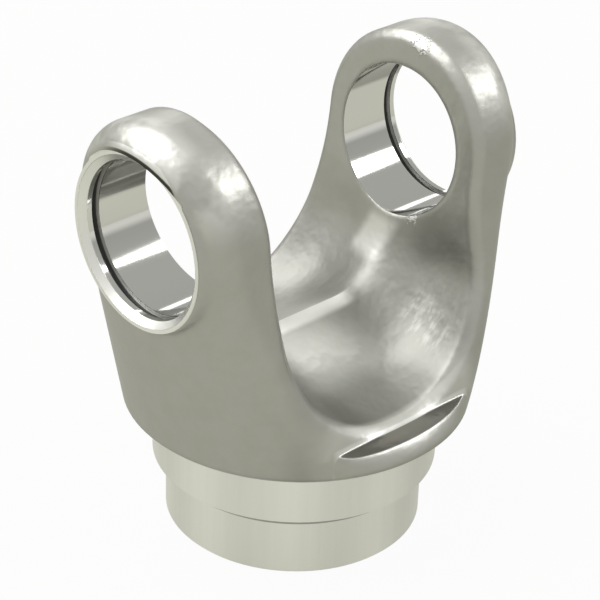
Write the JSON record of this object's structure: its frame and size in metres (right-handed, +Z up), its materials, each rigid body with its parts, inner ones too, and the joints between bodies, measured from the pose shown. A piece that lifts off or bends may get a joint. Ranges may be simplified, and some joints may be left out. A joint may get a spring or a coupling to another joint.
{
  "type": "weld yoke",
  "caption": "Forged steel driveshaft yoke with cross-drilled fork ears for bearing cups and a turned pilot that is pressed and welded into a tube.",
  "frame": {"origin": "centre of the pilot's end face, the lowest point", "axes": "+Z up along the shaft axis to the fork's open end, +X along the bore axis"},
  "size_m": [0.0758, 0.0614, 0.0848],
  "materials": {
    "forged_steel": "satin forged steel, machined bright in the bores and on the pilot"
  },
  "bodies": {
    "root": {"yoke": "forged_steel"}
  },
  "joints": []
}
